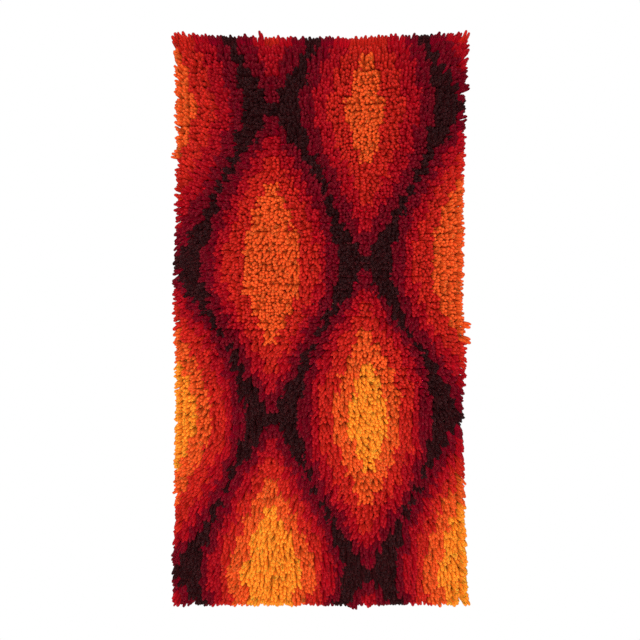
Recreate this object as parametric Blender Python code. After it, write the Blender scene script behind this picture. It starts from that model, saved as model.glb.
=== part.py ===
"""Latch-hooked wool wall hanging: a canvas with its border turned back, and the pile on it.

Metres, +Z up. The pile faces -Y, and the back hangs against a wall at y = 0. The origin is
the middle of the top edge, on the back of the turned border.
"""

import math
import random
from collections import namedtuple

import bmesh
import bpy
from mathutils import Matrix, Vector, noise

# Canvas: one knot in each hole, about ten holes to three inches, the rows a little closer
KNOT_PITCH = 0.00786
ROW_PITCH = 0.00758
KNOTS_ACROSS = 42
KNOT_ROWS = 84
CANVAS_WIDTH = KNOTS_ACROSS * KNOT_PITCH
CANVAS_HEIGHT = KNOT_ROWS * ROW_PITCH
LAYER_THICKNESS = 0.0015
CANVAS_FRONT = 2 * LAYER_THICKNESS
CANVAS_CELLS_ACROSS = KNOTS_ACROSS // 3
CANVAS_CELLS_DOWN = KNOT_ROWS // 3

# How the cloth hangs: its corners pull up, and its lower part stands off the wall in a low wave
CORNER_RISE = 0.0050
WAVE_DEPTH = 0.0040
FLAT_SHARE = 0.10
WAVES_ACROSS = 0.62
WAVES_DOWN = 0.55

# Pile: cut ends standing forward of the canvas and drooping, with the rim's ends leaning out
CLEARANCE = 0.0003
PILE_BACK = CANVAS_FRONT + CLEARANCE
PILE_HEIGHT = 0.0235
PILE_DROOP = 0.0030
PILE_FLARE = 0.0014
CORNER_PULL = 1.5
SHOULDER = 0.62
RIM_HEIGHT_SHARE = 0.90
PILE_CELLS_ACROSS = KNOTS_ACROSS // 2
PILE_CELLS_DOWN = KNOT_ROWS // 2
LUMP_HEIGHT = 0.0036
LUMP_SPACING = 0.026
TUFT_HEIGHT = 0.0011

# Locks: the tufts that lean out past the rim, one for each knot of it
LOCK_REACH = 0.0024
LOCK_REACH_SPREAD = 0.0014
LOCK_SUNK = 0.0050
LOCK_ROOT_DEPTH = 0.0065
LOCK_TIP_DEPTH = 0.0195
LOCK_DEPTH_SPREAD = 0.0018
LOCK_SIDEWAYS = 0.0014
LOCK_ROOT_RADIUS = 0.0046
LOCK_TIP_RADIUS = 0.0018
LOCK_SIDES = 4
CORNER_KNOTS = 2.5
SEED = 7

# How far each side edge lies inside the widest outline, from the top of the cloth to its foot
EdgeSection = namedtuple("EdgeSection", "down left_inset right_inset")
EDGE_SECTIONS = (
    EdgeSection(down=0.00, left_inset=0.0005, right_inset=0.0000),
    EdgeSection(down=0.12, left_inset=0.0040, right_inset=0.0035),
    EdgeSection(down=0.28, left_inset=0.0045, right_inset=0.0060),
    EdgeSection(down=0.45, left_inset=0.0030, right_inset=0.0065),
    EdgeSection(down=0.55, left_inset=0.0030, right_inset=0.0030),
    EdgeSection(down=0.65, left_inset=0.0035, right_inset=0.0065),
    EdgeSection(down=0.80, left_inset=0.0035, right_inset=0.0045),
    EdgeSection(down=0.92, left_inset=0.0000, right_inset=0.0015),
    EdgeSection(down=1.00, left_inset=0.0010, right_inset=0.0005),
)

CANVAS_COLOUR = (0.72, 0.60, 0.44, 1.0)
PILE_COLOUR = (0.46, 0.03, 0.02, 1.0)
FABRIC_ROUGHNESS = 0.9


def ease(share):
    """Goes from 0 to 1 with level ends."""
    share = min(max(share, 0.0), 1.0)
    return share * share * (3.0 - 2.0 * share)


def edge_insets(down):
    """How far the left and right edges lie inside the widest outline at this height."""
    for upper, lower in zip(EDGE_SECTIONS, EDGE_SECTIONS[1:]):
        if down <= lower.down:
            share = ease((down - upper.down) / (lower.down - upper.down))
            left = upper.left_inset + share * (lower.left_inset - upper.left_inset)
            right = upper.right_inset + share * (lower.right_inset - upper.right_inset)
            return left, right
    return EDGE_SECTIONS[-1].left_inset, EDGE_SECTIONS[-1].right_inset


def wall_gap(across, down):
    """How far the cloth stands off the wall. Its top is flat."""
    swing = ease((down - FLAT_SHARE) / (1.0 - FLAT_SHARE))
    turns = WAVES_ACROSS * across / 2.0 + WAVES_DOWN * down
    return WAVE_DEPTH * swing * (0.5 - 0.5 * math.cos(2.0 * math.pi * turns))


def on_cloth(across, down, forward):
    """The point at these shares of the width (-1 to 1) and height (0 to 1), and this far forward."""
    left, right = edge_insets(down)
    inset = left if across < 0.0 else right
    x = across * (CANVAS_WIDTH / 2.0 - inset)
    y = -forward - wall_gap(across, down)
    z = CORNER_RISE * across * across * (1.0 - down) - down * CANVAS_HEIGHT
    return Vector((x, y, z))


def in_pile(across, down, depth):
    """The point at this depth in the pile, which leans out at the rim and droops."""
    share = depth / PILE_HEIGHT
    upward = 1.0 - 2.0 * down
    pull = 1.0 - CORNER_PULL * across ** 8 * upward ** 16
    lean = Vector((across ** 5, 0.0, upward ** 9)) * PILE_FLARE * share * pull
    droop = Vector((0.0, 0.0, -PILE_DROOP * share))
    return on_cloth(across, down, PILE_BACK + depth) + lean + droop


def cloth_grid(cells_across, cells_down):
    """A flat grid whose points carry their own places across and down the cloth."""
    mesh = bmesh.new()
    bmesh.ops.create_grid(mesh, x_segments=cells_across, y_segments=cells_down, size=1.0)
    across = mesh.verts.layers.float.new("across")
    down = mesh.verts.layers.float.new("down")
    for point in mesh.verts:
        point[across] = point.co.x
        point[down] = (1.0 - point.co.y) / 2.0
    return mesh, across, down


def extrude(mesh, faces, closes_end=False):
    """Extrudes these faces as one. The old faces stay only where they close the solid's end."""
    made = bmesh.ops.extrude_face_region(mesh, geom=faces)["geom"]
    if not closes_end:
        bmesh.ops.delete(mesh, geom=faces, context="FACES")
    new_faces = [item for item in made if isinstance(item, bmesh.types.BMFace)]
    new_points = [item for item in made if isinstance(item, bmesh.types.BMVert)]
    return new_faces, new_points


def fabric(name, colour):
    """A matt cloth material of this colour."""
    material = bpy.data.materials.new(name)
    material.use_nodes = True
    shader = material.node_tree.nodes["Principled BSDF"]
    shader.inputs["Base Color"].default_value = colour
    shader.inputs["Roughness"].default_value = FABRIC_ROUGHNESS
    shader.inputs["Metallic"].default_value = 0.0
    return material


def add_object(name, mesh, collection):
    """Turns a bmesh into an object of this name."""
    bmesh.ops.recalc_face_normals(mesh, faces=mesh.faces)
    data = bpy.data.meshes.new(name)
    mesh.to_mesh(data)
    mesh.free()
    made = bpy.data.objects.new(name, data)
    collection.objects.link(made)
    return made


def in_border(face, across, down):
    """Whether a face lies in the border that is turned back."""
    middle_across = sum(point[across] for point in face.verts) / len(face.verts)
    middle_down = sum(point[down] for point in face.verts) / len(face.verts)
    beside = abs(middle_across) > 1.0 - 2.0 / CANVAS_CELLS_ACROSS
    above_or_below = abs(2.0 * middle_down - 1.0) > 1.0 - 2.0 / CANVAS_CELLS_DOWN
    return beside or above_or_below


def make_canvas(collection):
    """The canvas: one layer, and its border turned back three knots wide as a second layer."""
    mesh, across, down = cloth_grid(CANVAS_CELLS_ACROSS, CANVAS_CELLS_DOWN)
    for point in mesh.verts:
        point.co = on_cloth(point[across], point[down], CANVAS_FRONT)
    back, back_points = extrude(mesh, list(mesh.faces), closes_end=True)
    for point in back_points:
        point.co.y += LAYER_THICKNESS
    border = [face for face in back if in_border(face, across, down)]
    for point in extrude(mesh, border)[1]:
        point.co.y += LAYER_THICKNESS
    canvas = add_object("canvas", mesh, collection)
    canvas.data.materials.append(fabric("canvas", CANVAS_COLOUR))
    return canvas


def front_depth(across, down, chance):
    """How deep the pile is here: lumps, uneven tufts, and a rounded rim."""
    place = Vector((across * CANVAS_WIDTH / 2.0, 0.0, down * CANVAS_HEIGHT)) / LUMP_SPACING
    lump = LUMP_HEIGHT * noise.noise(place) + chance.uniform(-TUFT_HEIGHT, TUFT_HEIGHT)
    at_rim = max(abs(across), abs(2.0 * down - 1.0)) > 0.999
    return PILE_HEIGHT * (RIM_HEIGHT_SHARE if at_rim else 1.0) + lump


def make_slab(collection, chance):
    """The pile as a lumpy slab in two steps of depth, so that its sides swell out."""
    mesh, across, down = cloth_grid(PILE_CELLS_ACROSS, PILE_CELLS_DOWN)
    for point in mesh.verts:
        point.co = in_pile(point[across], point[down], 0.0)
    shoulder, shoulder_points = extrude(mesh, list(mesh.faces), closes_end=True)
    for point in shoulder_points:
        point.co = in_pile(point[across], point[down], SHOULDER * PILE_HEIGHT)
    for point in extrude(mesh, shoulder)[1]:
        depth = front_depth(point[across], point[down], chance)
        point.co = in_pile(point[across], point[down], depth)
    return add_object("pile", mesh, collection)


def rim_knots():
    """Each knot of the rim once, as its column and row."""
    for column in range(KNOTS_ACROSS):
        yield column, 0
        yield column, KNOT_ROWS - 1
    for row in range(1, KNOT_ROWS - 1):
        yield 0, row
        yield KNOTS_ACROSS - 1, row


def outward(column, row):
    """Which way a rim knot's tuft leans, turning through the corners."""
    left = max(0.0, 1.0 - column / CORNER_KNOTS)
    right = max(0.0, 1.0 - (KNOTS_ACROSS - 1 - column) / CORNER_KNOTS)
    top = max(0.0, 1.0 - row / CORNER_KNOTS)
    foot = max(0.0, 1.0 - (KNOT_ROWS - 1 - row) / CORNER_KNOTS)
    return Vector((right - left, 0.0, top - foot)).normalized()


def add_lock(mesh, column, row, chance):
    """One lock, a short cone with four sides that runs from inside the slab past its rim."""
    across = 2.0 * (column + 0.5) / KNOTS_ACROSS - 1.0
    down = (row + 0.5) / KNOT_ROWS
    way = outward(column, row)
    sideways = Vector((way.z, 0.0, -way.x))
    reach = LOCK_REACH + chance.uniform(-LOCK_REACH_SPREAD, LOCK_REACH_SPREAD)
    tip_depth = LOCK_TIP_DEPTH + chance.uniform(-LOCK_DEPTH_SPREAD, LOCK_DEPTH_SPREAD)
    lean = chance.uniform(-LOCK_SIDEWAYS, LOCK_SIDEWAYS)
    edge = way * KNOT_PITCH / 2.0
    root = in_pile(across, down, LOCK_ROOT_DEPTH) + edge - way * LOCK_SUNK
    tip = in_pile(across, down, tip_depth) + edge + way * reach + sideways * lean
    along = tip - root
    flats_level = Matrix.Rotation(math.pi / LOCK_SIDES, 4, "Z")
    turn = along.to_track_quat("Z", "Y").to_matrix().to_4x4() @ flats_level
    bmesh.ops.create_cone(
        mesh,
        cap_ends=True,
        segments=LOCK_SIDES,
        radius1=LOCK_ROOT_RADIUS,
        radius2=LOCK_TIP_RADIUS,
        depth=along.length,
        matrix=Matrix.Translation((root + tip) / 2.0) @ turn,
    )


def make_locks(collection, chance):
    """All the rim's locks, as a guide that is joined to the slab."""
    mesh = bmesh.new()
    for column, row in rim_knots():
        add_lock(mesh, column, row, chance)
    locks = add_object("locks", mesh, collection)
    locks.hide_render = True
    locks.display_type = "WIRE"
    return locks


def make_pile(parts, cutters):
    """The pile: the slab with the rim's locks joined to it."""
    chance = random.Random(SEED)
    pile = make_slab(parts, chance)
    join = pile.modifiers.new("locks", "BOOLEAN")
    join.operation = "UNION"
    join.object = make_locks(cutters, chance)
    pile.data.materials.append(fabric("pile", PILE_COLOUR))
    return pile


def main():
    for old in list(bpy.data.objects):
        bpy.data.objects.remove(old, do_unlink=True)
    parts = bpy.data.collections.new("wool_wall_hanging")
    cutters = bpy.data.collections.new("cutters")
    bpy.context.scene.collection.children.link(parts)
    bpy.context.scene.collection.children.link(cutters)
    make_canvas(parts)
    make_pile(parts, cutters)


main()
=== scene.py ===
"""Wool wall hanging: cut yarn knotted into an open canvas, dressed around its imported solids.

Metres, +Z up. The pile faces -Y and the wall is at y = 0. Every knot is one real length of
yarn: it comes in from the front, passes behind a pair of canvas threads, crosses in front of
them and goes back out to the front.
"""

from collections import namedtuple

import bpy
import numpy as np
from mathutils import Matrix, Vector, noise


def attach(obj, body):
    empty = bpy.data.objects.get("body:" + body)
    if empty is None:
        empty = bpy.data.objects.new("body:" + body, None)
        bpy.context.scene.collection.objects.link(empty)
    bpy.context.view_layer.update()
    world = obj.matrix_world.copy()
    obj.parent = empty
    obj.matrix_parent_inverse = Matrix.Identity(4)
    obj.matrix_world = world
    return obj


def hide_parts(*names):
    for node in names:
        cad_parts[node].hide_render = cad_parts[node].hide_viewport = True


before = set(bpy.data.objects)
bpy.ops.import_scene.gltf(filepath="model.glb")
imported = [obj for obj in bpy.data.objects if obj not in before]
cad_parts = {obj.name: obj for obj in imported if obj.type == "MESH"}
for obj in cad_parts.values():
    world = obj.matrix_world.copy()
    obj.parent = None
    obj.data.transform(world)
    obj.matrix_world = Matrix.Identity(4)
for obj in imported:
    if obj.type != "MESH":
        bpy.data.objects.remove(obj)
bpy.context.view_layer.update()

MM = 0.001
SEED = 11

# Canvas: one knot in each hole, as the solids have it
KNOT_PITCH = 7.86 * MM
ROW_PITCH = 7.58 * MM
KNOTS_ACROSS = 42
KNOT_ROWS = 84
CANVAS_WIDTH = KNOTS_ACROSS * KNOT_PITCH
CANVAS_HEIGHT = KNOT_ROWS * ROW_PITCH
BORDER_HOLES = 3

# How the cloth hangs, as the solids have it
CORNER_RISE = 5.0 * MM
WAVE_DEPTH = 4.0 * MM
FLAT_SHARE = 0.10
WAVES_ACROSS = 0.62
WAVES_DOWN = 0.55
EdgeSection = namedtuple("EdgeSection", "down left_inset right_inset")
EDGE_SECTIONS = (
    EdgeSection(down=0.00, left_inset=0.0005, right_inset=0.0000),
    EdgeSection(down=0.12, left_inset=0.0040, right_inset=0.0035),
    EdgeSection(down=0.28, left_inset=0.0045, right_inset=0.0060),
    EdgeSection(down=0.45, left_inset=0.0030, right_inset=0.0065),
    EdgeSection(down=0.55, left_inset=0.0030, right_inset=0.0030),
    EdgeSection(down=0.65, left_inset=0.0035, right_inset=0.0065),
    EdgeSection(down=0.80, left_inset=0.0035, right_inset=0.0045),
    EdgeSection(down=0.92, left_inset=0.0000, right_inset=0.0015),
    EdgeSection(down=1.00, left_inset=0.0010, right_inset=0.0005),
)

# Chart: a half-drop repeat of pointed ovals in nested bands, measured in knots
OVAL_SPACING = 14.0
OVAL_LENGTH = 46.0
OVAL_HALF_WIDTH = 9.8
OVAL_POINT = 1.15
FIRST_OVAL_ROW = 10.0
Bands = namedtuple("Bands", "above_row wine crimson scarlet orange gold")
NO_BAND = 99.0
OVAL_BANDS = (
    Bands(above_row=20, wine=0.1, crimson=2.1, scarlet=4.2, orange=7.2, gold=NO_BAND),
    Bands(above_row=40, wine=0.0, crimson=1.5, scarlet=3.1, orange=5.4, gold=NO_BAND),
    Bands(above_row=60, wine=0.0, crimson=1.3, scarlet=2.7, orange=4.8, gold=7.0),
    Bands(above_row=999, wine=-0.2, crimson=1.1, scarlet=2.3, orange=4.1, gold=6.1),
)

# Yarns: the dyed colour at the tips, how much the strands differ, and how much lighter the roots are drawn:
# painted light, in place of the light that loose fibres scatter down between the ends
Yarn = namedtuple("Yarn", "name red green blue spread roots")
YARNS = (
    Yarn("black", red=36, green=8, blue=10, spread=0.20, roots=4.0),
    Yarn("wine", red=98, green=2, blue=18, spread=0.14, roots=3.1),
    Yarn("crimson", red=152, green=7, blue=20, spread=0.12, roots=2.1),
    Yarn("scarlet", red=180, green=29, blue=20, spread=0.12, roots=1.6),
    Yarn("orange", red=219, green=80, blue=28, spread=0.10, roots=1.1),
    Yarn("gold", red=245, green=134, blue=34, spread=0.10, roots=1.0),
)
YARN_SIDES = 5
MOST_KNOTS = 840

# The yarn of one knot, in millimetres: across, up and forward of the wall. Each end comes out
# of the hole under a pair of weft threads. The yarn goes up behind the pair, over its top and
# down in front of it, to the loop that holds both ends.
KnotPoint = namedtuple("KnotPoint", "across up forward radius flat")
KNOT_ROOT = KnotPoint(across=1.85, up=-2.3, forward=4.3, radius=3.35, flat=0.8)
KNOT_LEG = (
    KnotPoint(across=1.40, up=-2.2, forward=1.90, radius=2.15, flat=0.35),
    KnotPoint(across=1.40, up=2.3, forward=1.85, radius=2.15, flat=0.35),
    KnotPoint(across=1.85, up=2.5, forward=4.0, radius=3.35, flat=0.70),
)
KNOT_BIGHT = KnotPoint(across=0.0, up=-0.4, forward=5.9, radius=2.25, flat=0.8)

# The rings of one cut end, from the canvas to the tip
EndRing = namedtuple("EndRing", "share radius")
END_RINGS = (
    EndRing(share=0.26, radius=2.55),
    EndRing(share=0.62, radius=2.40),
    EndRing(share=0.90, radius=2.10),
    EndRing(share=1.00, radius=1.50),
)
END_ACROSS = 1.96 * MM
TIP_DOME = 0.60 * MM

# Each end opens as it leaves the canvas, and two of its four plies stand apart from the others
SPLIT_RINGS = (
    EndRing(share=0.18, radius=2.30),
    EndRing(share=0.56, radius=2.30),
    EndRing(share=0.89, radius=2.00),
    EndRing(share=1.00, radius=1.40),
)
SPLIT_SIDES = 4
OPEN_FROM = 0.05
OPEN_BY = 0.80
SPLIT_APART = 3.7 * MM
SPLIT_SPREAD = 0.5 * MM
SPLIT_TURN = 0.55
SPLIT_SHORTER = 0.8 * MM
MAIN_SHARE = 0.48

# Pile: how long the ends are and which way they lean
PILE_LENGTH = 23.5 * MM
LENGTH_SPREAD = 0.65 * MM
LUMP_HEIGHT = 3.6 * MM
LUMP_SPACING = 26.0 * MM
END_FAN = 0.7 * MM
DROOP_TOP = 1.0 * MM
DROOP_FOOT = 6.2 * MM
LEFT_LEAN = 0.75 * MM
LEFT_SWEEP = 6.0 * MM
CLUMP_LEAN = 3.2 * MM
CLUMP_SPACING = 75.0 * MM
TUFT_LEAN = 2.0 * MM
TUFT_SPACING = 15.0 * MM
END_LEAN = 1.0 * MM
SPLAY_LEFT = 2.6 * MM
SPLAY_RIGHT = 6.6 * MM
SPLAY_TOP = 10.9 * MM
SPLAY_FOOT = -2.6 * MM
SPLAY_RANGE = 12.0 * MM
RIM_GATHER = 3.2 * MM
RIM_FAN = 1.6 * MM
RIM_CALM = 1.0
LEAN_LIMIT = 17.0 * MM
WAVINESS = 0.30 * MM
BEND_EARLY = 0.35

# Where rows of tufts part: the middle in millimetres from the top edge's middle, and the size
Parting = namedtuple("Parting", "across down half_length push")
PARTINGS = (
    Parting(across=-34.0, down=276.0, half_length=30.0, push=2.8),
    Parting(across=62.0, down=148.0, half_length=26.0, push=2.0),
    Parting(across=18.0, down=430.0, half_length=34.0, push=1.8),
    Parting(across=-88.0, down=520.0, half_length=24.0, push=2.0),
    Parting(across=-166.0, down=63.8, half_length=12.0, push=5.0),
    Parting(across=-166.0, down=94.3, half_length=12.0, push=4.5),
    Parting(across=-166.0, down=138.0, half_length=12.0, push=4.5),
    Parting(across=-166.0, down=167.5, half_length=12.0, push=4.5),
    Parting(across=166.0, down=56.1, half_length=14.0, push=5.5),
    Parting(across=168.0, down=40.8, half_length=8.0, push=4.5),
)
PARTING_REACH = 7.0 * MM

# Ends that were cut long: the knot, which way they point, and how much longer they are
Stray = namedtuple("Stray", "column row across up longer")
STRAYS = (
    Stray(column=41, row=42, across=10.5, up=-3.0, longer=3.0),
    Stray(column=41, row=44, across=9.5, up=-5.0, longer=2.0),
    Stray(column=0, row=17, across=-12.5, up=-1.0, longer=3.0),
    Stray(column=12, row=0, across=-3.0, up=12.5, longer=4.0),
    Stray(column=41, row=7, across=8.5, up=0.5, longer=1.0),
    Stray(column=25, row=83, across=2.0, up=-9.0, longer=1.0),
)

# Canvas threads: pairs both ways, the front layer and the border turned back behind it
THREAD_RADIUS = 0.52 * MM
THREAD_SIDES = 4
WARP_HALF_GAP = 0.52 * MM
WEFT_HALF_GAP = 0.55 * MM
THREAD_RISE = 0.20 * MM
FRONT_LAYER = 2.75 * MM
BACK_LAYER = 0.74 * MM
SIDE_FOLD = 2.0 * MM
TOP_FOLD = 0.9 * MM
FOLD_ROUND = 0.35 * MM
CANVAS_COLOUR = (226, 206, 172)

# The running stitch that holds the border down
STITCH_LENGTH = 4.2 * MM
STITCH_RADIUS = 0.42 * MM
STITCH_OFF_EDGE = 3.8 * MM
STITCH_LIFT = 0.30 * MM
STITCH_DEPTH = 0.35 * MM
STITCH_COLOUR = (203, 182, 146)

# Camera, level with the middle of the cloth
VIEW_DISTANCE = 0.953
VIEW_HALF_WIDTH = 0.391
SENSOR = 36.0
MIDDLE_HEIGHT = -CANVAS_HEIGHT / 2.0

# Floor and light
FLOOR_SIZE = 3.0
FLOOR_HEIGHT = -1.45
ROOM_LIGHT = 0.43
LAMP_PLACE = (-0.06, -1.25, -0.36)
LAMP_SIZE = (0.4, 0.3)
LAMP_POWER = 17.6


def ease(share):
    """Goes from 0 to 1 with level ends."""
    share = np.clip(share, 0.0, 1.0)
    return share * share * (3.0 - 2.0 * share)


def edge_insets(down):
    """How far the left and right edges lie inside the widest outline at these heights."""
    table = np.array(EDGE_SECTIONS)
    step = np.searchsorted(table[:, 0], down, side="right") - 1
    step = np.clip(step, 0, len(table) - 2)
    upper = table[step]
    lower = table[step + 1]
    share = ease((down - upper[..., 0]) / (lower[..., 0] - upper[..., 0]))
    inset = upper + share[..., None] * (lower - upper)
    return inset[..., 1], inset[..., 2]


def wall_gap(across, down):
    """How far the cloth stands off the wall. Its top is flat."""
    swing = ease((down - FLAT_SHARE) / (1.0 - FLAT_SHARE))
    turns = WAVES_ACROSS * across / 2.0 + WAVES_DOWN * down
    return WAVE_DEPTH * swing * (0.5 - 0.5 * np.cos(2.0 * np.pi * turns))


def on_cloth(across, down, forward):
    """Points at these shares of the width (-1 to 1) and height (0 to 1), this far forward."""
    across, down, forward = np.broadcast_arrays(across, down, forward)
    left, right = edge_insets(down)
    inset = np.where(across < 0.0, left, right)
    x = across * (CANVAS_WIDTH / 2.0 - inset)
    y = -forward - wall_gap(across, down)
    z = CORNER_RISE * across * across * (1.0 - down) - down * CANVAS_HEIGHT
    return np.stack([x, y, z], axis=-1)


def place_of(column, row):
    """Where the middle of a knot's hole is, as shares across and down the cloth."""
    return 2.0 * (column + 0.5) / KNOTS_ACROSS - 1.0, (row + 0.5) / KNOT_ROWS


def oval_depth(column, row, middle_column, middle_row):
    """How far inside a pointed oval's edge each knot lies, in knots."""
    turn = np.pi * (row - middle_row) / OVAL_LENGTH
    arch = np.clip(np.cos(turn), 0.05, 1.0)
    half_width = OVAL_HALF_WIDTH * np.clip(np.cos(turn), 0.0, 1.0) ** OVAL_POINT
    slope = OVAL_HALF_WIDTH * OVAL_POINT * arch ** (OVAL_POINT - 1.0) * np.sin(turn)
    slope = slope * np.pi / OVAL_LENGTH
    depth = (half_width - abs(column - middle_column)) / np.hypot(1.0, slope)
    return np.where(abs(turn) < np.pi / 2.0, depth, -NO_BAND)


def chart():
    """Which yarn each knot has, as a grid of numbers in the order of YARNS."""
    row, column = np.mgrid[0:KNOT_ROWS, 0:KNOTS_ACROSS] + 0.5
    deepest = np.full(row.shape, -NO_BAND)
    oval_row = np.zeros(row.shape)
    for line in range(int(KNOTS_ACROSS / OVAL_SPACING) + 1):
        drop = 0.5 if line % 2 else 1.0
        middle_row = FIRST_OVAL_ROW - drop * OVAL_LENGTH
        while middle_row < KNOT_ROWS + OVAL_LENGTH:
            depth = oval_depth(column, row, line * OVAL_SPACING, middle_row)
            nearer = depth > deepest
            deepest = np.where(nearer, depth, deepest)
            oval_row = np.where(nearer, middle_row, oval_row)
            middle_row += OVAL_LENGTH
    yarn = np.zeros(row.shape, int)
    above = -np.inf
    for bands in OVAL_BANDS:
        here = (oval_row >= above) & (oval_row < bands.above_row)
        for edge in bands[1:]:
            yarn += here & (deepest >= edge)
        above = bands.above_row
    return yarn


def smooth_noise(places, spacing, seed):
    """A smooth random push at each place: across, in depth and upward, about -1 to 1."""
    found = [2.0 * noise.noise_vector(Vector(place) / spacing + Vector((seed, 0, 0))) for place in places]
    return np.array(found)


def rim_shares(across, down):
    """How near each place is to the left, right, top and foot rim: 1 on it, 0 far inside."""
    off_rim = np.stack([
        (1.0 + across) * CANVAS_WIDTH / 2.0,
        (1.0 - across) * CANVAS_WIDTH / 2.0,
        down * CANVAS_HEIGHT,
        (1.0 - down) * CANVAS_HEIGHT,
    ])
    return np.exp(-off_rim / SPLAY_RANGE)


def rim_splay(across, down, side):
    """How far the tips lean outward at the rim, across and up. The inner ends lean out more."""
    left, right, top, foot = rim_shares(across, down)
    inner = RIM_GATHER * (right if side < 0 else -left)
    outward = SPLAY_RIGHT * right - SPLAY_LEFT * left
    return outward + inner, SPLAY_TOP * top - SPLAY_FOOT * foot


def parting_push(place):
    """How the rows lean away from a parting, upward above it and downward below."""
    push = np.zeros(len(place))
    for parting in PARTINGS:
        along = (place[:, 0] - parting.across * MM) / (parting.half_length * MM)
        off = place[:, 2] + parting.down * MM
        near = np.exp(-abs(off) / PARTING_REACH - along * along)
        push += parting.push * MM * np.sign(off) * near
    return push


def tip_leans(column, row, side, fan, chance):
    """Which way each knot's cut end leans at its tip, across and up, and how long it is."""
    across, down = place_of(column, row)
    place = on_cloth(across, down, 0.0)
    sideways, upward = rim_splay(across, down, side)
    clump = CLUMP_LEAN * smooth_noise(place, CLUMP_SPACING, 0.0)
    tuft = TUFT_LEAN * smooth_noise(place, TUFT_SPACING, 40.0 + side)
    own = clump[:, ::2] + tuft[:, ::2] + chance.normal(0.0, END_LEAN, (len(place), 2))
    left, right, top, foot = rim_shares(across, down)
    at_side = np.maximum(left, right)
    own *= 1.0 - RIM_CALM * np.stack([at_side, np.maximum(top, foot)], axis=1)
    sweep_left = LEFT_SWEEP * np.minimum(across, 0.0) * np.sin(np.pi * down) * (1.0 - left)
    sideways = sideways - LEFT_LEAN + sweep_left
    droop = DROOP_TOP + (DROOP_FOOT - DROOP_TOP) * down
    upward = upward + side * fan * (END_FAN + RIM_FAN * at_side) - droop + parting_push(place)
    lean = own + np.stack([sideways, upward], axis=1)
    lump = [noise.noise(Vector((x, 0.0, -z)) / LUMP_SPACING) for x, y, z in place]
    length = PILE_LENGTH + LUMP_HEIGHT * np.array(lump)
    length += chance.normal(0.0, LENGTH_SPREAD, len(length))
    reach = np.linalg.norm(lean, axis=1)
    lean *= np.minimum(1.0, LEAN_LIMIT / reach)[:, None]
    if side > 0:
        for stray in STRAYS:
            here = (column == stray.column) & (row == stray.row)
            lean[here] = np.array([stray.across, stray.up]) * MM
            length[here] += stray.longer * MM
    return lean, length


def end_points(rings, side, lean, height, wave, apart):
    """One cut end of each knot, from just off the canvas to its tip, moved apart by its tip."""
    share = np.array([ring.share for ring in rings])
    bend = BEND_EARLY * share + (1.0 - BEND_EARLY) * share ** 2
    sway = np.sin(np.pi * share) * wave
    opened = ease((share - OPEN_FROM) / (OPEN_BY - OPEN_FROM))
    across = side * END_ACROSS + lean[:, :1] * bend + sway[0] + apart[:, :1] * opened
    up = KNOT_ROOT.up * MM + lean[:, 1:] * bend + sway[1] + apart[:, 1:] * opened
    forward = KNOT_ROOT.forward * MM + height[:, None] * share
    return np.stack([across, up, forward], axis=-1)


def opened_end(column, row, side, fan, chance):
    """One cut end of each knot: the yarn itself, and the two plies that stand apart from it."""
    lean, length = tip_leans(column, row, side, fan, chance)
    height = np.sqrt(length ** 2 - (lean ** 2).sum(axis=1))
    wave = chance.normal(0.0, WAVINESS, (2, len(column), 1))
    turn = chance.choice((-0.5, 0.5), len(column)) * np.pi + chance.normal(0.0, SPLIT_TURN, len(column))
    turn += np.where((row == 0) | (row == KNOT_ROWS - 1), np.pi / 2.0, 0.0)
    reach = SPLIT_APART + chance.normal(0.0, SPLIT_SPREAD, len(column))
    apart = reach[:, None] * np.stack([np.cos(turn), np.sin(turn)], axis=1)
    shorter = abs(chance.normal(0.0, SPLIT_SHORTER, len(column)))
    yarn = end_points(END_RINGS, side, lean, height, wave, -MAIN_SHARE * apart)
    plies = end_points(SPLIT_RINGS, side, lean, height - shorter, wave, (1.0 - MAIN_SHARE) * apart)
    return yarn, plies


def knot_points(column, row, chance):
    """The whole yarn of each knot, from tip to tip round the canvas, and its loose plies."""
    fan = chance.choice((-1.0, 1.0), len(column))
    left, left_plies = opened_end(column, row, -1, fan, chance)
    right, right_plies = opened_end(column, row, 1, fan, chance)
    held = (KNOT_ROOT,) + KNOT_LEG

    def middle(side, points):
        line = [(side * point.across, point.up, point.forward) for point in points]
        return np.broadcast_to(np.array(line) * MM, (len(column), len(points), 3))

    parts = (left[:, ::-1], middle(-1, held), middle(0, (KNOT_BIGHT,)), middle(1, held[::-1]), right)
    return np.concatenate(parts, axis=1), left_plies, right_plies


def knot_rings():
    """The radius and the flatness of each ring of a knot's yarn, and how near it is to a tip."""
    ends = [(ring.radius * MM, 1.0, ring.share) for ring in END_RINGS]
    held = [(point.radius * MM, point.flat, 0.0) for point in (KNOT_ROOT,) + KNOT_LEG]
    bight = [(KNOT_BIGHT.radius * MM, KNOT_BIGHT.flat, 0.0)]
    rings = ends[::-1] + held + bight + held[::-1] + ends
    return np.array(rings).T


def hang(column, row, local):
    """Points given from each knot's hole, hung on the cloth in the frame's metres."""
    across, down = place_of(column, row)
    paths = on_cloth(across[:, None], down[:, None], local[..., 2])
    paths[..., 0] += local[..., 0]
    paths[..., 2] += local[..., 1]
    return paths


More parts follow.
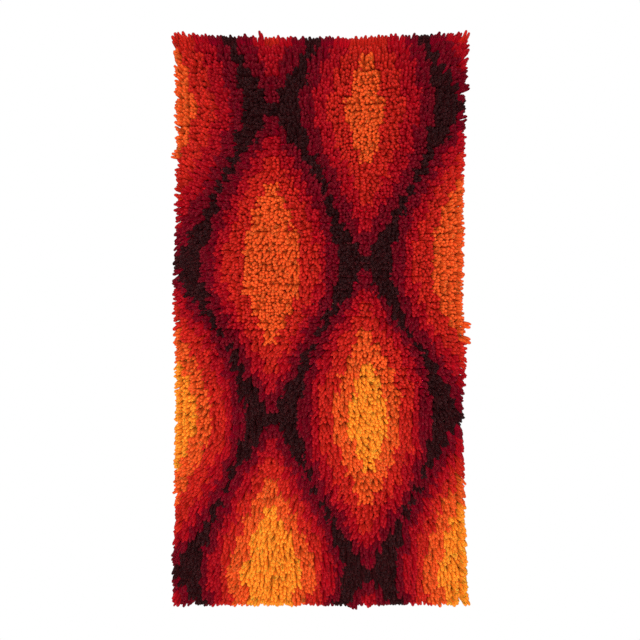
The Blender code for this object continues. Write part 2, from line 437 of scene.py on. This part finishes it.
def sweep(paths, radius, flat, sides, start):
    """Rings of points round many paths at once, flattened towards the wall where flat says."""
    along = np.gradient(paths, axis=1)
    along /= np.linalg.norm(along, axis=-1, keepdims=True)
    beside = np.empty_like(paths)
    beside[:, 0] = np.cross(along[:, 0], start)
    for step in range(paths.shape[1]):
        last = beside[:, max(step - 1, 0)]
        part = (last * along[:, step]).sum(axis=-1, keepdims=True)
        turned = last - part * along[:, step]
        beside[:, step] = turned / np.linalg.norm(turned, axis=-1, keepdims=True)
    above = np.cross(along, beside)
    turn = 2.0 * np.pi * np.arange(sides) / sides
    ring = np.cos(turn)[:, None] * beside[:, :, None] + np.sin(turn)[:, None] * above[:, :, None]
    ring *= np.broadcast_to(radius, paths.shape[:2])[:, :, None, None]
    ring[..., 1] *= np.broadcast_to(flat, paths.shape[:2])[:, :, None]
    ends = paths[:, [0, -1]] + along[:, [0, -1]] * np.array([-TIP_DOME, TIP_DOME])[:, None]
    return paths[:, :, None] + ring, ends


def tube_faces(points, sides):
    """The corners of one tube's four-sided faces, as ring and side numbers. Its two ends are fans, which tube_mesh
    adds.
    """
    step, side = np.mgrid[0 : points - 1, 0:sides]
    step, side = step.ravel(), side.ravel()
    quads = np.stack([step, step, step + 1, step + 1], axis=1)
    quad_sides = np.stack([side + 1, side, side, side + 1], axis=1)
    return quads, quad_sides


def tube_mesh(name, paths, radius, flat, sides, start, values):
    """Many tubes as one mesh, with maps that run round and along each tube."""
    rings, ends = sweep(paths, radius, flat, sides, start)
    tubes, points = paths.shape[:2]
    own = points * sides + 2
    vertices = np.concatenate([rings.reshape(tubes, -1, 3), ends], axis=1)
    first = (np.arange(tubes) * own)[:, None, None]
    steps, quad_sides = tube_faces(points, sides)
    quads = first + steps * sides + quad_sides % sides
    side = np.arange(sides)
    near = np.stack([np.full(sides, points * sides), side, (side + 1) % sides], axis=1)
    far_ring = (points - 1) * sides
    far = np.stack([np.full(sides, own - 1), far_ring + (side + 1) % sides, far_ring + side], axis=1)
    fans = first + np.concatenate([near, far])
    mesh = bpy.data.meshes.new(name)
    fill_mesh(mesh, vertices.reshape(-1, 3), quads.reshape(-1, 4), fans.reshape(-1, 3))

    length = np.concatenate([np.zeros((tubes, 1)), np.linalg.norm(np.diff(paths, axis=1), axis=-1)], axis=1)
    length = np.cumsum(length, axis=1)
    middle = side + 0.5
    fan_sides = np.concatenate([
        np.stack([middle, side, side + 1], axis=1),
        np.stack([middle, side + 1, side], axis=1),
    ])
    around = np.concatenate([
        np.broadcast_to(quad_sides, (tubes,) + quad_sides.shape).reshape(-1),
        np.broadcast_to(fan_sides, (tubes,) + fan_sides.shape).reshape(-1),
    ]) / sides
    near_length = np.stack([-TIP_DOME + 0 * length[:, 0], length[:, 0], length[:, 0]], axis=1)
    far_length = np.stack([length[:, -1] + TIP_DOME, length[:, -1], length[:, -1]], axis=1)
    fan_length = np.concatenate([
        np.repeat(near_length[:, None], sides, axis=1),
        np.repeat(far_length[:, None], sides, axis=1),
    ], axis=1)
    lengthwise = np.concatenate([length[:, steps].reshape(-1), fan_length.reshape(-1)])
    tube = np.concatenate([
        np.repeat(np.arange(tubes), steps.size),
        np.repeat(np.arange(tubes), fan_sides.size),
    ])
    add_map(mesh, "yarn", around, lengthwise / MM)
    add_bake_map(mesh, around, lengthwise, tube, length[:, -1], radius)
    for label, value in values.items():
        ring_values = np.broadcast_to(value, (tubes, points))
        whole = np.concatenate([np.repeat(ring_values, sides, axis=1), ring_values[:, [0, -1]]], axis=1)
        attribute = mesh.attributes.new(label, "FLOAT", "POINT")
        attribute.data.foreach_set("value", whole.astype(np.float32).ravel())
    mesh.shade_smooth()
    made = bpy.data.objects.new(name, mesh)
    bpy.context.scene.collection.objects.link(made)
    return made


def fill_mesh(mesh, vertices, quads, fans):
    """Gives an empty mesh these vertices and faces."""
    corners = np.concatenate([quads.ravel(), fans.ravel()])
    counts = np.concatenate([np.full(len(quads), 4), np.full(len(fans), 3)])
    starts = np.concatenate([[0], np.cumsum(counts)[:-1]])
    mesh.vertices.add(len(vertices))
    mesh.vertices.foreach_set("co", vertices.astype(np.float32).ravel())
    mesh.loops.add(len(corners))
    mesh.loops.foreach_set("vertex_index", corners.astype(np.int32))
    mesh.polygons.add(len(counts))
    mesh.polygons.foreach_set("loop_start", starts.astype(np.int32))
    mesh.update(calc_edges=True)


def add_map(mesh, name, across, along):
    """A map on the mesh's corners."""
    layer = mesh.uv_layers.new(name=name)
    layer.uv.foreach_set("vector", np.stack([across, along], axis=1).astype(np.float32).ravel())


def add_bake_map(mesh, around, lengthwise, tube, longest, radius):
    """A map in which each tube has a strip of its own, side by side in rows."""
    tubes = len(longest)
    shape = float(longest.mean() / (2.0 * np.pi * np.mean(radius)))
    columns = max(1, int(np.ceil(np.sqrt(tubes * shape))))
    rows = int(np.ceil(tubes / columns))
    margin = 0.04
    share = (lengthwise + TIP_DOME) / (longest[tube] + 2.0 * TIP_DOME)
    across = (tube % columns + margin + (1.0 - 2.0 * margin) * around) / columns
    along = (tube // columns + margin / 2.0 + (1.0 - margin) * share) / rows
    add_map(mesh, "OFBake", across, along)


def knots_mesh(column, row, name, chance):
    """Knots of one colour: each yarn, and the plies that stand apart at its two ends."""
    start = (0.0, 0.0, 1.0)
    radius, flat, near_tip = knot_rings()
    split_radius = np.array([ring.radius * MM for ring in SPLIT_RINGS])
    split_tip = np.array([ring.share for ring in SPLIT_RINGS])
    whole, *plies = knot_points(column, row, chance)
    paths = hang(column, row, whole)
    thick = radius * chance.normal(1.0, 0.05, (len(column), 1))
    thick = thick * chance.normal(1.0, 0.03, paths.shape[:2])
    left, right = chance.normal(0.0, 1.0, (2, len(column), 1))
    half = paths.shape[1] // 2
    own = np.repeat(left * 0.6 + right * 0.4, paths.shape[1], axis=1)
    own[:, half:] = right * 0.6 + left * 0.4
    values = {"shade": own, "tip": near_tip}
    made = [tube_mesh("knots", paths, thick, flat, YARN_SIDES, start, values)]
    for points, shade in zip(plies, (left, right)):
        thick = split_radius * chance.normal(1.0, 0.07, (len(column), 1))
        values = {"shade": 0.7 * shade + chance.normal(0.0, 0.5, shade.shape), "tip": split_tip}
        made.append(tube_mesh("plies", hang(column, row, points), thick, 1.0, SPLIT_SIDES, start, values))
    return joined(made, name)


def make_pile():
    """The pile, one piece for each colour of yarn, or more where a colour has many knots."""
    yarn = chart()
    chance = np.random.default_rng(SEED)
    pieces = []
    for number, colour in enumerate(YARNS):
        row, column = np.nonzero(yarn == number)
        material = wool_material(colour)
        parts = int(np.ceil(len(row) / MOST_KNOTS))
        for part, some in enumerate(np.array_split(np.arange(len(row)), parts)):
            name = "pile_" + colour.name + (f"_{part + 1}" if parts > 1 else "")
            piece = knots_mesh(column[some], row[some], name, chance)
            piece.data.materials.append(material)
            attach(piece, "root")
            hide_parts("pile")
            pieces.append(piece)
    return pieces


def thread_pairs(lines, places, depths, is_warp):
    """Pairs of canvas threads on these lines, over and under in turn at each place along them."""
    half_gap = WARP_HALF_GAP / KNOT_PITCH if is_warp else WEFT_HALF_GAP / ROW_PITCH
    over = THREAD_RISE * (-1.0) ** np.rint(lines[:, None] + places[None, :])
    pairs = []
    for side in (-1.0, 1.0):
        beside = lines[:, None] + side * half_gap
        if is_warp:
            pair = on_cloth(2.0 * beside / KNOTS_ACROSS - 1.0, places / KNOT_ROWS, depths + side * over)
        else:
            pair = on_cloth(2.0 * places / KNOTS_ACROSS - 1.0, beside / KNOT_ROWS, depths - side * over)
        pairs.append(pair)
    return np.concatenate(pairs)


def turned_back(stops, count, fold):
    """A thread's places from one cut end, round the fold and the front, to the other cut end."""
    ends = stops[:BORDER_HOLES]
    places = np.concatenate([
        ends[::-1], [-fold, -fold], stops, [count + fold, count + fold], count - ends,
    ])
    behind = np.full(BORDER_HOLES, BACK_LAYER)
    round_fold = np.array([BACK_LAYER + FOLD_ROUND, FRONT_LAYER - FOLD_ROUND])
    front = np.full(len(stops), FRONT_LAYER)
    depths = np.concatenate([behind, round_fold, front, round_fold[::-1], behind])
    return places, depths


def canvas_threads():
    """Every run of canvas threads: its name, its paths and the way its rings start."""
    warps = np.arange(KNOTS_ACROSS + 1.0)
    wefts = np.arange(KNOT_ROWS) + 0.5
    border_warps = np.concatenate([warps[1 : BORDER_HOLES + 1], warps[-BORDER_HOLES - 1 : -1]])
    border_wefts = np.concatenate([wefts[:BORDER_HOLES], wefts[-BORDER_HOLES:]])
    inner_wefts = wefts[BORDER_HOLES:-BORDER_HOLES]
    across = turned_back(warps, KNOTS_ACROSS, SIDE_FOLD / KNOT_PITCH)
    down = turned_back(wefts, KNOT_ROWS, TOP_FOLD / ROW_PITCH)
    level, upright = (0.0, 0.0, 1.0), (1.0, 0.0, 0.0)
    behind = np.full(len(warps), BACK_LAYER)
    return (
        ("inner_wefts", thread_pairs(inner_wefts, *across, False), level),
        ("outer_wefts", thread_pairs(border_wefts, warps, behind + FRONT_LAYER - BACK_LAYER, False), level),
        ("warps", thread_pairs(warps, *down, True), upright),
        ("border_wefts", thread_pairs(border_wefts, warps, behind, False), level),
        ("border_warps", thread_pairs(border_warps, inner_wefts, np.full(len(inner_wefts), BACK_LAYER), True), upright),
    )


def stitch_paths():
    """The running stitch round the border, near its inner edge, as one short path a stitch."""
    inset_across = BORDER_HOLES - STITCH_OFF_EDGE / KNOT_PITCH
    inset_down = BORDER_HOLES - STITCH_OFF_EDGE / ROW_PITCH
    columns = np.arange(inset_across, KNOTS_ACROSS - inset_across, 1.0)
    rows = np.arange(inset_down, KNOT_ROWS - inset_down, 1.0)
    share = np.array([0.0, 0.15, 0.5, 0.85, 1.0])
    lift = np.array([-2.2, -0.2, 0.0, -0.2, -2.2]) * STITCH_LIFT
    lines = []
    for row in (inset_down, KNOT_ROWS - inset_down):
        run = columns[:, None] + share * STITCH_LENGTH / KNOT_PITCH
        lines.append(on_cloth(2.0 * run / KNOTS_ACROSS - 1.0, row / KNOT_ROWS, STITCH_DEPTH - lift))
    for column in (inset_across, KNOTS_ACROSS - inset_across):
        run = rows[:, None] + share * STITCH_LENGTH / ROW_PITCH
        lines.append(on_cloth(2.0 * column / KNOTS_ACROSS - 1.0, run / KNOT_ROWS, STITCH_DEPTH - lift))
    return lines


def joined(made, name):
    """Several meshes as one piece."""
    with bpy.context.temp_override(active_object=made[0], selected_editable_objects=made):
        bpy.ops.object.join()
    made[0].name = made[0].data.name = name
    return made[0]


def thread_piece(name, runs, radius, chance):
    """Runs of thread as one piece."""
    made = []
    for label, paths, start in runs:
        shade = chance.normal(0.0, 1.0, (len(paths), 1))
        thick = radius * chance.normal(1.0, 0.05, paths.shape[:2])
        values = {"shade": shade, "tip": 0.5}
        made.append(tube_mesh(label, paths, thick, 1.0, THREAD_SIDES, start, values))
    return joined(made, name)


def make_canvas():
    """The open canvas: its threads both ways, with their ends turned back all round."""
    chance = np.random.default_rng(SEED + 1)
    canvas = thread_piece("canvas_threads", canvas_threads(), THREAD_RADIUS, chance)
    canvas.data.materials.append(cotton_material("canvas_cotton", CANVAS_COLOUR))
    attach(canvas, "root")
    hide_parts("canvas")
    return canvas


def make_stitching():
    """The running stitch that holds the turned border down."""
    chance = np.random.default_rng(SEED + 2)
    starts = ((0.0, 0.0, 1.0), (0.0, 0.0, 1.0), (1.0, 0.0, 0.0), (1.0, 0.0, 0.0))
    sides = ("top", "foot", "left", "right")
    runs = list(zip(sides, stitch_paths(), starts))
    stitching = thread_piece("border_stitches", runs, STITCH_RADIUS, chance)
    stitching.data.materials.append(cotton_material("stitch_thread", STITCH_COLOUR))
    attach(stitching, "root")
    return stitching


def math_node(tree, operation, *values):
    """A Math node with these numbers and links in its sockets."""
    node = tree.nodes.new("ShaderNodeMath")
    node.operation = operation
    for socket, value in zip(node.inputs, values):
        feed(tree, value, socket)
    return node.outputs[0]


def feed(tree, value, socket):
    """Links or sets one socket."""
    if isinstance(value, bpy.types.NodeSocket):
        tree.links.new(value, socket)
    else:
        socket.default_value = value


def mix_colours(tree, share, first, second, blend="MIX"):
    """A colour between two colours."""
    node = tree.nodes.new("ShaderNodeMix")
    node.data_type = "RGBA"
    node.blend_type = blend
    feed(tree, share, node.inputs["Factor"])
    feed(tree, first, node.inputs["A"])
    feed(tree, second, node.inputs["B"])
    return node.outputs["Result"]


def new_group(name, inputs, outputs):
    """An empty shader node group with named sockets."""
    group = bpy.data.node_groups.new(name, "ShaderNodeTree")
    for label, kind, value in inputs:
        socket = group.interface.new_socket(label, in_out="INPUT", socket_type=kind)
        socket.default_value = value
    for label, kind in outputs:
        group.interface.new_socket(label, in_out="OUTPUT", socket_type=kind)
    return group, group.nodes.new("NodeGroupInput").outputs, group.nodes.new("NodeGroupOutput").inputs


def place_group(tree, group, **values):
    """A node group placed in a material. Its sockets are named by the words of each value."""
    node = tree.nodes.new("ShaderNodeGroup")
    node.node_tree = group
    for label, value in values.items():
        feed(tree, value, node.inputs[label.replace("_", " ")])
    return node.outputs


def own_value(tree, name):
    """A value that the mesh carries."""
    node = tree.nodes.new("ShaderNodeAttribute")
    node.attribute_name = name
    return node.outputs["Fac"]


FLOAT, COLOUR = "NodeSocketFloat", "NodeSocketColor"


def ply_twist_group():
    """Twisted plies and loose fibres, from the map that runs round and along each yarn."""
    inputs = (("plies", FLOAT, 4.0), ("turn length", FLOAT, 10.0), ("fibre", FLOAT, 0.3))
    group, given, result = new_group("ply twist", inputs, (("ply", FLOAT), ("fuzz", FLOAT), ("height", FLOAT)))
    place = group.nodes.new("ShaderNodeUVMap")
    place.uv_map = "yarn"
    split = group.nodes.new("ShaderNodeSeparateXYZ")
    group.links.new(place.outputs["UV"], split.inputs[0])
    turns = math_node(group, "DIVIDE", split.outputs["Y"], given["turn length"])
    helix = math_node(group, "ADD", split.outputs["X"], turns)
    phase = math_node(group, "MULTIPLY", math_node(group, "MULTIPLY", helix, given["plies"]), 2.0 * np.pi)
    wave = math_node(group, "MULTIPLY_ADD", math_node(group, "SINE", phase), 0.5, 0.5)
    ply = math_node(group, "POWER", wave, 0.6)
    join = group.nodes.new("ShaderNodeCombineXYZ")
    feed(group, math_node(group, "MULTIPLY", helix, 26.0), join.inputs["X"])
    feed(group, math_node(group, "MULTIPLY", split.outputs["Y"], 0.35), join.inputs["Y"])
    feed(group, math_node(group, "MULTIPLY", own_value(group, "shade"), 9.0), join.inputs["Z"])
    fibres = group.nodes.new("ShaderNodeTexNoise")
    fibres.inputs["Scale"].default_value = 1.0
    fibres.inputs["Detail"].default_value = 3.0
    fibres.inputs["Roughness"].default_value = 0.6
    group.links.new(join.outputs[0], fibres.inputs["Vector"])
    fuzz = fibres.outputs["Fac"]
    height = math_node(group, "MULTIPLY_ADD", fuzz, given["fibre"], ply)
    feed(group, ply, result["ply"])
    feed(group, fuzz, result["fuzz"])
    feed(group, height, result["height"])
    return group


def dyed_yarn_group():
    """A dyed colour that differs from strand to strand, with painted light at the roots, a painted highlight at the
    tips and painted shade in its grooves.
    """
    inputs = (
        ("colour", COLOUR, (0.5, 0.1, 0.1, 1.0)),
        ("root colour", COLOUR, (0.6, 0.12, 0.12, 1.0)),
        ("tip colour", COLOUR, (0.7, 0.3, 0.2, 1.0)),
        ("spread", FLOAT, 0.1),
        ("ply", FLOAT, 1.0),
        ("fuzz", FLOAT, 0.5),
    )
    group, given, result = new_group("dyed yarn", inputs, (("colour", COLOUR),))
    tip = own_value(group, "tip")
    # Painted light: the roots drawn lighter, fading to the dyed colour towards the tip
    colour = mix_colours(
        group, math_node(group, "POWER", tip, 2.0), given["root colour"], given["colour"],
    )
    # Painted highlight: the last part of each end drawn towards the paler tip colour
    end = math_node(group, "MULTIPLY", math_node(group, "POWER", tip, 12.0), 0.6)
    colour = mix_colours(group, end, colour, given["tip colour"])
    strand = math_node(group, "MULTIPLY", own_value(group, "shade"), given["spread"])
    fibre = math_node(group, "MULTIPLY_ADD", given["fuzz"], 0.5, -0.25)
    # Painted shade: darker in the grooves between the plies
    painted_groove_shade = math_node(group, "MULTIPLY_ADD", given["ply"], 0.2, 0.85)
    light = math_node(group, "ADD", math_node(group, "ADD", strand, fibre), painted_groove_shade)
    scale = group.nodes.new("ShaderNodeVectorMath")
    scale.operation = "SCALE"
    feed(group, colour, scale.inputs[0])
    feed(group, light, scale.inputs["Scale"])
    feed(group, scale.outputs[0], result["colour"])
    return group


def linear(red, green, blue):
    """A colour given as it shows on a screen, 0 to 255, as Blender's own values."""
    share = np.array([red, green, blue]) / 255.0
    light = np.where(share > 0.04045, ((share + 0.055) / 1.055) ** 2.4, share / 12.92)
    return (*light, 1.0)


def new_material(name):
    """A material and its shader."""
    material = bpy.data.materials.new(name)
    material.use_nodes = True
    return material, material.node_tree, material.node_tree.nodes["Principled BSDF"]


def bump(tree, height, depth):
    """The surface's normal with this relief."""
    node = tree.nodes.new("ShaderNodeBump")
    node.inputs["Strength"].default_value = 1.0
    node.inputs["Distance"].default_value = depth
    feed(tree, height, node.inputs["Height"])
    return node.outputs["Normal"]


def twisted_yarn(name, colour, root, tip, spread, plies, turn, relief, sheen):
    """A material for twisted yarn or thread."""
    material, tree, shader = new_material(name)
    twist = place_group(tree, GROUPS["twist"], plies=plies, turn_length=turn, fibre=0.5)
    # The root colour brings painted light and the tip colour a painted highlight, where they differ from the colour
    dyed = place_group(
        tree, GROUPS["dyed"], colour=colour, root_colour=root, tip_colour=tip, spread=spread,
        ply=twist["ply"], fuzz=twist["fuzz"],
    )
    feed(tree, dyed["colour"], shader.inputs["Base Color"])
    feed(tree, bump(tree, twist["height"], relief), shader.inputs["Normal"])
    feed(tree, math_node(tree, "MULTIPLY_ADD", twist["fuzz"], 0.25, 0.68), shader.inputs["Roughness"])
    shader.inputs["Specular IOR Level"].default_value = 0.03
    shader.inputs["Sheen Weight"].default_value = sheen
    shader.inputs["Sheen Roughness"].default_value = 0.45
    shader.inputs["Sheen Tint"].default_value = tip
    return material


def wool_material(yarn):
    """Rug wool of one dyed colour: four plies, a soft sheen, painted light at its roots and a painted highlight at its
    paler cut tips.
    """
    colour = linear(yarn.red, yarn.green, yarn.blue)
    # The roots drawn lighter than the dyed colour: painted light for the light scattered down between the ends
    root = tuple(min(0.95, yarn.roots * part) for part in colour[:3]) + (1.0,)
    # The tips a little paler: a painted highlight, also used as the sheen's tint
    tip = tuple(min(0.95, part + 0.006) for part in colour[:3]) + (1.0,)
    wool = twisted_yarn("wool_" + yarn.name, colour, root, tip, yarn.spread, 4.0, 11.0, 0.25 * MM, 0.30)
    shader = wool.node_tree.nodes["Principled BSDF"]
    shader.inputs["Subsurface Weight"].default_value = 0.8
    shader.inputs["Subsurface Radius"].default_value = (1.0, 0.6, 0.5)
    shader.inputs["Subsurface Scale"].default_value = 4.0 * MM
    return wool


def cotton_material(name, shown):
    """Undyed cotton thread, two plies, stiff with size."""
    colour = linear(*shown)
    return twisted_yarn(name, colour, colour, colour, 0.06, 2.0, 3.0, 0.12 * MM, 0.1)


def make_stage():
    """A pale floor well below the hanging, out of the camera's sight."""
    bpy.ops.mesh.primitive_plane_add(size=FLOOR_SIZE, location=(0.0, 0.0, FLOOR_HEIGHT))
    floor = bpy.context.object
    floor.name = "floor"
    material, tree, shader = new_material("pale_floor")
    grain = tree.nodes.new("ShaderNodeTexNoise")
    grain.inputs["Scale"].default_value = 3.0
    pale = mix_colours(tree, grain.outputs["Fac"], (0.80, 0.80, 0.79, 1.0), (0.84, 0.84, 0.83, 1.0))
    feed(tree, pale, shader.inputs["Base Color"])
    shader.inputs["Roughness"].default_value = 0.7
    floor.data.materials.append(material)


def make_light():
    """A white backdrop, soft light all round, and one broad lamp just above the camera."""
    world = bpy.data.worlds.new("white_room")
    world.use_nodes = True
    tree = world.node_tree
    backdrop = tree.nodes["Background"]
    backdrop.inputs["Color"].default_value = (1.0, 1.0, 1.0, 1.0)
    seen = tree.nodes.new("ShaderNodeLightPath").outputs["Is Camera Ray"]
    strength = math_node(tree, "MULTIPLY_ADD", seen, 1.0 - ROOM_LIGHT, ROOM_LIGHT)
    feed(tree, strength, backdrop.inputs["Strength"])
    bpy.context.scene.world = world
    data = bpy.data.lights.new("soft_lamp", "AREA")
    data.shape = "RECTANGLE"
    data.size, data.size_y = LAMP_SIZE
    data.energy = LAMP_POWER
    lamp = bpy.data.objects.new("soft_lamp", data)
    lamp.location = LAMP_PLACE
    aim = Vector((0.0, 0.0, MIDDLE_HEIGHT)) - lamp.location
    lamp.rotation_euler = aim.to_track_quat("-Z", "Y").to_euler()
    bpy.context.scene.collection.objects.link(lamp)


def make_camera():
    """A level camera, face on."""
    data = bpy.data.cameras.new("camera")
    data.sensor_width = SENSOR
    data.lens = SENSOR / 2.0 / VIEW_HALF_WIDTH
    camera = bpy.data.objects.new("camera", data)
    camera.location = (0.0, -VIEW_DISTANCE, MIDDLE_HEIGHT)
    camera.rotation_euler = (np.pi / 2.0, 0.0, 0.0)
    bpy.context.scene.collection.objects.link(camera)
    bpy.context.scene.camera = camera


make_camera()
make_light()
make_stage()
GROUPS = {"twist": ply_twist_group(), "dyed": dyed_yarn_group()}
pile = make_pile()
canvas = make_canvas()
stitching = make_stitching()
bpy.context.scene.view_settings.view_transform = "Standard"
